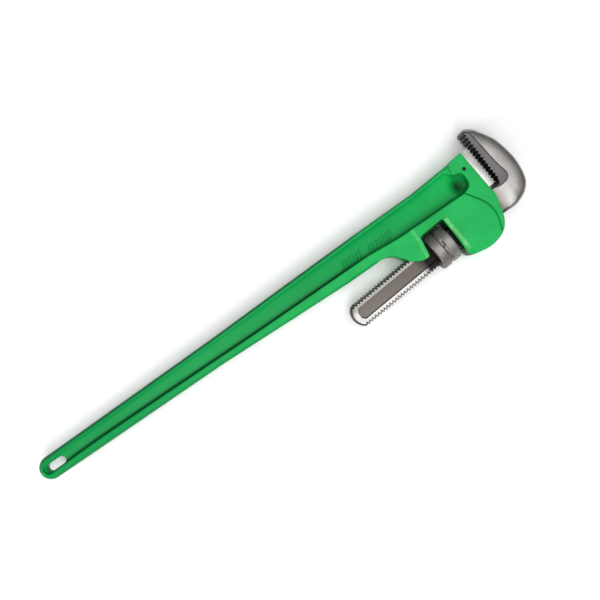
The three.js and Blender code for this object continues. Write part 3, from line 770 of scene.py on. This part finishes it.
def addNoise(tree, place, size, detail=3, roughness=0.55, stretch=None):
    # size is the pattern's grain in millimetres
    if stretch:
        mapping = tree.nodes.new("ShaderNodeMapping")
        mapping.inputs["Rotation"].default_value = (0, 0, -lean)
        mapping.inputs["Scale"].default_value = stretch
        tree.links.new(place, mapping.inputs["Vector"])
        place = mapping.outputs["Vector"]
    noise = tree.nodes.new("ShaderNodeTexNoise")
    noise.inputs["Scale"].default_value = 1000 / size
    noise.inputs["Detail"].default_value = detail
    noise.inputs["Roughness"].default_value = roughness
    tree.links.new(place, noise.inputs["Vector"])
    return noise.outputs["Fac"]


def addRange(tree, value, fromLow, fromHigh, toLow=0.0, toHigh=1.0):
    node = tree.nodes.new("ShaderNodeMapRange")
    node.inputs["From Min"].default_value = fromLow
    node.inputs["From Max"].default_value = fromHigh
    node.inputs["To Min"].default_value = toLow
    node.inputs["To Max"].default_value = toHigh
    tree.links.new(value, node.inputs["Value"])
    return node.outputs["Result"]


def addMix(tree, share, first, second):
    node = tree.nodes.new("ShaderNodeMix")
    node.data_type = "RGBA"
    # sockets 0, 6 and 7 are the factor and the two colours
    for socket, value in ((node.inputs[0], share), (node.inputs[6], first), (node.inputs[7], second)):
        if isinstance(value, bpy.types.NodeSocket):
            tree.links.new(value, socket)
        elif isinstance(value, (int, float)):
            socket.default_value = value
        else:
            socket.default_value = (*value, 1)
    return node.outputs[2]


def addMath(tree, operation, first, second):
    node = tree.nodes.new("ShaderNodeMath")
    node.operation = operation
    node.use_clamp = operation in ("MULTIPLY", "ADD")
    for socket, value in zip(node.inputs, (first, second)):
        if isinstance(value, bpy.types.NodeSocket):
            tree.links.new(value, socket)
        else:
            socket.default_value = value
    return node.outputs["Value"]


def addBump(tree, heights):
    # heights: (value, strength, millimetres), laid one over another
    normal = None
    for value, strength, distance in heights:
        bump = tree.nodes.new("ShaderNodeBump")
        bump.inputs["Strength"].default_value = strength
        bump.inputs["Distance"].default_value = distance / 1000
        tree.links.new(value, bump.inputs["Height"])
        if normal is not None:
            tree.links.new(normal, bump.inputs["Normal"])
        normal = bump.outputs["Normal"]
    return normal


def addDistance(tree, place, direction):
    # distance in one direction on the drawing, and how far the drawing is shifted in it
    dot = tree.nodes.new("ShaderNodeVectorMath")
    dot.operation = "DOT_PRODUCT"
    dot.inputs[1].default_value = (*direction, 0)
    tree.links.new(place, dot.inputs[0])
    return dot.outputs["Value"], rowShift[0] * direction[0] + rowShift[1] * direction[1]


def addShare(tree, name):
    stored = tree.nodes.new("ShaderNodeAttribute")
    stored.attribute_name = name
    return stored.outputs["Fac"]


enamelLook = {
    "colour": (0.006, 0.40, 0.086), "deepColour": (0.003, 0.33, 0.062), "edgeColour": (0.07, 0.52, 0.15),
    "hollowColour": (0.001, 0.13, 0.025), "bareColour": (0.11, 0.10, 0.09),
    "roughness": (0.34, 0.5), "specular": 0.12, "coat": 0.03, "coatRoughness": 0.2,
    # painted shade and painted highlight colours: crease shade, dark outer sides, the darker grip, bright edges
    "creaseShadeColour": (0.002, 0.02, 0.006), "sideColour": (0.0005, 0.075, 0.03),
    "gripShadeColour": (0.0005, 0.25, 0.055), "paintedHighlightColour": (0.24, 0.66, 0.26),
}


def enamelMaterial(look):
    material, tree, shader, place = startMaterial("greenEnamel")
    edges = tree.nodes.new("ShaderNodeNewGeometry").outputs["Pointiness"]
    cloud = addNoise(tree, place, 45, 2)
    mottle = addNoise(tree, place, 6, 4)
    peel = addNoise(tree, place, 1.1, 2, 0.4)
    sandCast = addNoise(tree, place, 9, 3)
    speck = addNoise(tree, place, 1.6, 3, 0.7)
    base = addMix(tree, addRange(tree, cloud, 0.3, 0.6), look["deepColour"], look["colour"])
    base = addMix(tree, addRange(tree, mottle, 0.4, 0.85, 0.0, 0.3), base, look["deepColour"])
    # painted highlight on convex edges and painted shade in hollows
    base = addMix(tree, addRange(tree, edges, 0.515, 0.58, 0.0, 0.75), base, look["edgeColour"])
    base = addMix(tree, addRange(tree, edges, 0.49, 0.44, 0.0, 0.8), base, look["hollowColour"])
    chips = addMath(tree, "MULTIPLY", addRange(tree, edges, 0.6, 0.68), addRange(tree, speck, 0.66, 0.7))
    base = addMix(tree, chips, base, look["bareColour"])
    # painted shade: the grip darker towards its end and in its channel
    base = addMix(tree, addShare(tree, "gripShade"), base, look["gripShadeColour"])
    # painted shade: the grip's outer sides darker
    base = addMix(tree, addShare(tree, "outerSide"), base, look["sideColour"])
    # painted highlight on the window's front wall and the housing's ridge
    paintedHighlight = addMath(tree, "MULTIPLY", addShare(tree, "paintedHighlight"), addRange(tree, mottle, 0.3, 0.7, 0.25, 0.8))
    base = addMix(tree, paintedHighlight, base, look["paintedHighlightColour"])
    # painted shade in the channel's foot, the pocket, the nut's window and the housing's step
    creaseShadeShare = addMath(tree, "MULTIPLY", addShare(tree, "creaseShade"), addRange(tree, speck, 0.2, 0.6, 0.75, 1.0))
    base = addMix(tree, creaseShadeShare, base, look["creaseShadeColour"])
    tree.links.new(base, shader.inputs["Base Color"])
    tree.links.new(addRange(tree, mottle, 0.25, 0.75, *look["roughness"]), shader.inputs["Roughness"])
    tree.links.new(addBump(tree, [(sandCast, 0.35, 0.6), (peel, 0.16, 0.12)]), shader.inputs["Normal"])
    shader.inputs["Specular IOR Level"].default_value = look["specular"]
    shader.inputs["Coat Weight"].default_value = look["coat"]
    shader.inputs["Coat Roughness"].default_value = look["coatRoughness"]
    return material


def addGreaseAndShade(tree, place, cloud, startU, endU, fade, amount):
    # painted shade and grease: a dark stretch of the shank between two distances along it, with a ragged soft border
    along, offset = addDistance(tree, place, (leanCos, leanSin))
    ragged = addMath(tree, "SUBTRACT", along, addRange(tree, cloud, 0, 1, -0.006, 0.006))
    start = addRange(tree, ragged, (startU + offset - fade) / 1000, (startU + offset + fade) / 1000)
    end = addRange(tree, ragged, (endU + offset + fade) / 1000, (endU + offset - fade) / 1000)
    return addMath(tree, "MULTIPLY", addMath(tree, "MULTIPLY", start, end), amount)


def steelMaterial(name, look):
    # colour, darker in hollows as painted shade and lighter on edges, with grain and fine scratches
    material, tree, shader, place = startMaterial(name)
    edges = tree.nodes.new("ShaderNodeNewGeometry").outputs["Pointiness"]
    cloud = addNoise(tree, place, 18, 3)
    grain = addNoise(tree, place, look.get("grain", 1.2), 4, 0.6)
    scratches = addNoise(tree, place, 1.0, 3, 0.6, (0.06, 1.6, 1.6))
    base = addMix(tree, addRange(tree, cloud, 0.3, 0.7), look["dark"], look["colour"])
    base = addMix(tree, addRange(tree, scratches, 0.45, 0.75, 0.0, 0.35), base, look["dark"])
    base = addMix(tree, addRange(tree, grain, 0.55, 0.8, 0.0, 0.3), base, look["dark"])
    # painted shade in hollows
    base = addMix(tree, addRange(tree, edges, 0.49, 0.43, 0.0, look.get("hollow", 0.6)), base, look["hollowColour"])
    base = addMix(tree, addRange(tree, edges, 0.53, 0.6, 0.0, 0.6), base, look["edge"])
    if "shadedAboveW" in look:
        across, offset = addDistance(tree, place, (-leanSin, leanCos))
        edgeW = look["shadedAboveW"] + offset
        shaded = addRange(tree, across, (edgeW - 2) / 1000, (edgeW + 2) / 1000, 0.0, 0.85)
        base = addMix(tree, shaded, base, look["shadedColour"])
    # painted shade and grease along part of the shank
    if "greaseAndShade" in look:
        base = addMix(tree, addGreaseAndShade(tree, place, cloud, *look["greaseAndShade"]), base, look["greaseAndShadeColour"])
    tree.links.new(base, shader.inputs["Base Color"])
    tree.links.new(addRange(tree, grain, 0.3, 0.7, *look["roughness"]), shader.inputs["Roughness"])
    shader.inputs["Metallic"].default_value = look["metallic"]
    shader.inputs["Specular IOR Level"].default_value = look.get("specular", 0.5)
    tree.links.new(addBump(tree, [(grain, 0.25, 0.2), (scratches, 0.2, 0.12)]), shader.inputs["Normal"])
    return material


# painted shade and grease on the shank inside the housing and the nut's window
shankGreaseAndShade = {"greaseAndShade": (158, 262, 6, 1.0), "greaseAndShadeColour": (0.009, 0.008, 0.007), "specular": 0.2}
steelLooks = {
    "forgedSteel": {"colour": (0.325, 0.314, 0.302), "dark": (0.235, 0.225, 0.215), "hollowColour": (0.09, 0.075, 0.065),
                    "edge": (0.52, 0.51, 0.50), "roughness": (0.3, 0.44), "metallic": 0.92,
                    # the hook's neck is darkened by painted shade and grease
                    "greaseAndShade": (240, 297, 6, 0.75), "greaseAndShadeColour": (0.06, 0.042, 0.032)},
    "toothBand": {"colour": (0.115, 0.109, 0.11), "dark": (0.085, 0.08, 0.081), "hollowColour": (0.04, 0.036, 0.036),
                  "edge": (0.36, 0.35, 0.34), "roughness": (0.34, 0.5), "metallic": 0.9},
    # near black: the teeth's own finish, also used as painted shade on the recess's lower wall
    "blackTeethAndRecessShade": {"colour": (0.014, 0.013, 0.013), "dark": (0.007, 0.007, 0.007), "hollowColour": (0.003, 0.003, 0.003),
                   "edge": (0.07, 0.068, 0.065), "roughness": (0.35, 0.55), "metallic": 0.4},
    "threadSteel": {"colour": (0.26, 0.25, 0.24), "dark": (0.16, 0.152, 0.145), "hollowColour": (0.015, 0.013, 0.012),
                    "edge": (0.5, 0.49, 0.47), "roughness": (0.36, 0.52), "metallic": 0.85, "hollow": 0.55,
                    **shankGreaseAndShade},
    "recessSteel": {"colour": (0.235, 0.21, 0.188), "dark": (0.23, 0.2, 0.175), "hollowColour": (0.01, 0.008, 0.007),
                    "edge": (0.4, 0.38, 0.36), "roughness": (0.45, 0.62), "metallic": 0.6, "hollow": 0.9,
                    **shankGreaseAndShade},
    "flatSteel": {"colour": (0.42, 0.41, 0.395), "dark": (0.32, 0.31, 0.30), "hollowColour": (0.08, 0.07, 0.06),
                  "edge": (0.6, 0.59, 0.57), "roughness": (0.32, 0.46), "metallic": 0.9,
                  "shadedAboveW": -62, "shadedColour": (0.19, 0.18, 0.17), **shankGreaseAndShade},
    "scaleSteel": {"colour": (0.07, 0.066, 0.064), "dark": (0.035, 0.033, 0.032), "hollowColour": (0.01, 0.01, 0.01),
                   "edge": (0.3, 0.29, 0.28), "roughness": (0.4, 0.56), "metallic": 0.6},
    "groundSteel": {"colour": (0.38, 0.372, 0.363), "dark": (0.3, 0.292, 0.284), "hollowColour": (0.13, 0.12, 0.115),
                    "edge": (0.62, 0.61, 0.6), "roughness": (0.32, 0.46), "metallic": 0.88},
    "nutSteel": {"colour": (0.28, 0.265, 0.256), "dark": (0.185, 0.173, 0.165), "hollowColour": (0.02, 0.018, 0.017),
                 "edge": (0.36, 0.35, 0.34), "roughness": (0.42, 0.56), "metallic": 0.7},
    "pinSteel": {"colour": (0.03, 0.028, 0.026), "dark": (0.016, 0.015, 0.014), "hollowColour": (0.006, 0.006, 0.006),
                 "edge": (0.16, 0.15, 0.15), "roughness": (0.4, 0.55), "metallic": 0.6, "grain": 0.5},
    "springSteel": {"colour": (0.2, 0.19, 0.2), "dark": (0.11, 0.1, 0.1), "hollowColour": (0.03, 0.03, 0.03),
                    "edge": (0.5, 0.49, 0.48), "roughness": (0.28, 0.42), "metallic": 0.9, "grain": 0.6},
    "coilSteel": {"colour": (0.15, 0.145, 0.14), "dark": (0.08, 0.075, 0.07), "hollowColour": (0.02, 0.02, 0.02),
                  "edge": (0.4, 0.39, 0.38), "roughness": (0.26, 0.4), "metallic": 0.9, "grain": 0.5},
    "rivetSteel": {"colour": (0.26, 0.25, 0.24), "dark": (0.15, 0.145, 0.14), "hollowColour": (0.04, 0.04, 0.04),
                   "edge": (0.5, 0.49, 0.48), "roughness": (0.36, 0.5), "metallic": 0.85, "grain": 0.6},
}
steels = {name: steelMaterial(name, look) for name, look in steelLooks.items()}


def wear(piece, *materials):
    piece.data.materials.clear()
    for material in materials:
        piece.data.materials.append(material)


def alongShankCoordinates(piece):
    centres = np.empty(len(piece.data.polygons) * 3)
    normals = np.empty(len(piece.data.polygons) * 3)
    piece.data.polygons.foreach_get("center", centres)
    piece.data.polygons.foreach_get("normal", normals)
    centres = centres.reshape(-1, 3) * 1000 - rowShift
    normals = normals.reshape(-1, 3)
    u = centres[:, 0] * leanCos + centres[:, 1] * leanSin
    w = -centres[:, 0] * leanSin + centres[:, 1] * leanCos
    return u, w, centres[:, 2], normals


def paintHookJaw(piece):
    wear(piece, steels["forgedSteel"], steels["toothBand"], steels["blackTeethAndRecessShade"], steels["threadSteel"],
         steels["recessSteel"], steels["flatSteel"], steels["scaleSteel"])
    u, w, z, normals = alongShankCoordinates(piece)
    kind = np.zeros(len(u), np.int32)
    flat = np.abs(normals[:, 2])
    kind[(edgeDistance(roundedOutline(toothBand), u, w) < 0.15) & (np.abs(z) > 15.5) & (w > -54)] = 1
    line = 309.2 + 2.5 * (w + 45) / 75.5
    kind[(u < line + hookShape["toothDepth"] + 0.2) & (w > -48) & (w < 35) & (flat < 0.6)] = 2
    onShank = u < 262
    kind[onShank] = 5
    kind[onShank & (flat < 0.75) & (u < shankShape["threadEndX"] + 2)] = 3
    inRecess = onShank & (u > 48.5) & (u < 236.5) & (np.abs(w - shankShape["axisY"]) < 9.3)
    kind[inRecess & (np.abs(z) < 10.8)] = 4
    # painted shade: the recess's lower wall takes the near-black steel of the teeth
    kind[inRecess & (flat < 0.97) & (w < shankShape["axisY"] - 6)] = 2
    kind[(u < shankShape["endX"] + shankShape["endRound"]) & (flat < 0.97) & ~inRecess] = 6
    piece.data.polygons.foreach_set("material_index", kind)


wear(handleCasting, enamelMaterial(enamelLook))
paintHookJaw(hookJaw)
wear(heelJaw, steels["groundSteel"])
wear(rollPin, steels["pinSteel"])
wear(nut, steels["nutSteel"])
wear(coilSpring, steels["coilSteel"])
for node, steel in (("flat_spring", "springSteel"), ("spring_rivet", "rivetSteel")):
    wear(frame["nodes"][node], steels[steel])
print("materials made")


stageLook = {
    "floorSize": 12, "floorColour": (0.95, 0.95, 0.95), "worldStrength": 0.17,
    "overheadPower": 48, "overheadSize": 2.6, "keyPower": 32, "keySize": 1.9,
    "sidePower": 14, "sideSize": 0.6,
    "overheadAt": (0.4, 0.1, 2.4), "keyAt": (0.35, -1.7, 2.2), "sideAt": (-1.5, -0.9, 1.0),  # right, up, height
    "cameraHeight": 0.98, "cameraTurnDeg": -35, "viewAngleDeg": 45.5,
}


def makeStage(s):
    size = s["floorSize"] / 2
    mesh = bpy.data.meshes.new("floor")
    mesh.from_pydata([(-size, -size, 0), (size, -size, 0), (size, size, 0), (-size, size, 0)], [], [(0, 1, 2, 3)])
    floor = bpy.data.objects.new("floor", mesh)
    bpy.context.scene.collection.objects.link(floor)
    material = bpy.data.materials.new("paleFloor")
    material.use_nodes = True
    shader = material.node_tree.nodes["Principled BSDF"]
    shader.inputs["Base Color"].default_value = (*s["floorColour"], 1)
    shader.inputs["Roughness"].default_value = 0.9
    shader.inputs["Specular IOR Level"].default_value = 0.1
    mesh.materials.append(material)

    world = bpy.data.worlds.new("studio")
    bpy.context.scene.world = world
    world.use_nodes = True
    background = world.node_tree.nodes["Background"]
    background.inputs["Color"].default_value = (1, 1, 1, 1)
    background.inputs["Strength"].default_value = s["worldStrength"]

    turn = math.radians(s["cameraTurnDeg"])
    right = Vector((math.cos(turn), math.sin(turn), 0))
    up = Vector((-math.sin(turn), math.cos(turn), 0))
    centre = Vector((rowShift[0] / 1000, rowShift[1] / 1000, rowShift[2] / 1000))

    def areaLight(name, at, power, size):
        place = centre + right * at[0] + up * at[1] + Vector((0, 0, at[2]))
        data = bpy.data.lights.new(name, "AREA")
        data.energy = power
        data.shape = "DISK"
        data.size = size
        light = bpy.data.objects.new(name, data)
        light.location = place
        light.rotation_mode = "QUATERNION"
        light.rotation_quaternion = (centre - place).to_track_quat("-Z", "Y")
        bpy.context.scene.collection.objects.link(light)

    for name in ("side", "overhead", "key"):
        areaLight(name, s[name + "At"], s[name + "Power"], s[name + "Size"])

    data = bpy.data.cameras.new("camera")
    data.sensor_width = 36
    data.lens = 18 / math.tan(math.radians(s["viewAngleDeg"] / 2))
    camera = bpy.data.objects.new("camera", data)
    camera.location = centre + Vector((0, 0, s["cameraHeight"]))
    camera.rotation_euler = (0, 0, turn)
    bpy.context.scene.collection.objects.link(camera)
    bpy.context.scene.camera = camera


makeStage(stageLook)
bpy.context.scene.view_settings.view_transform = "Standard"  # keeps the floor white and the enamel strong
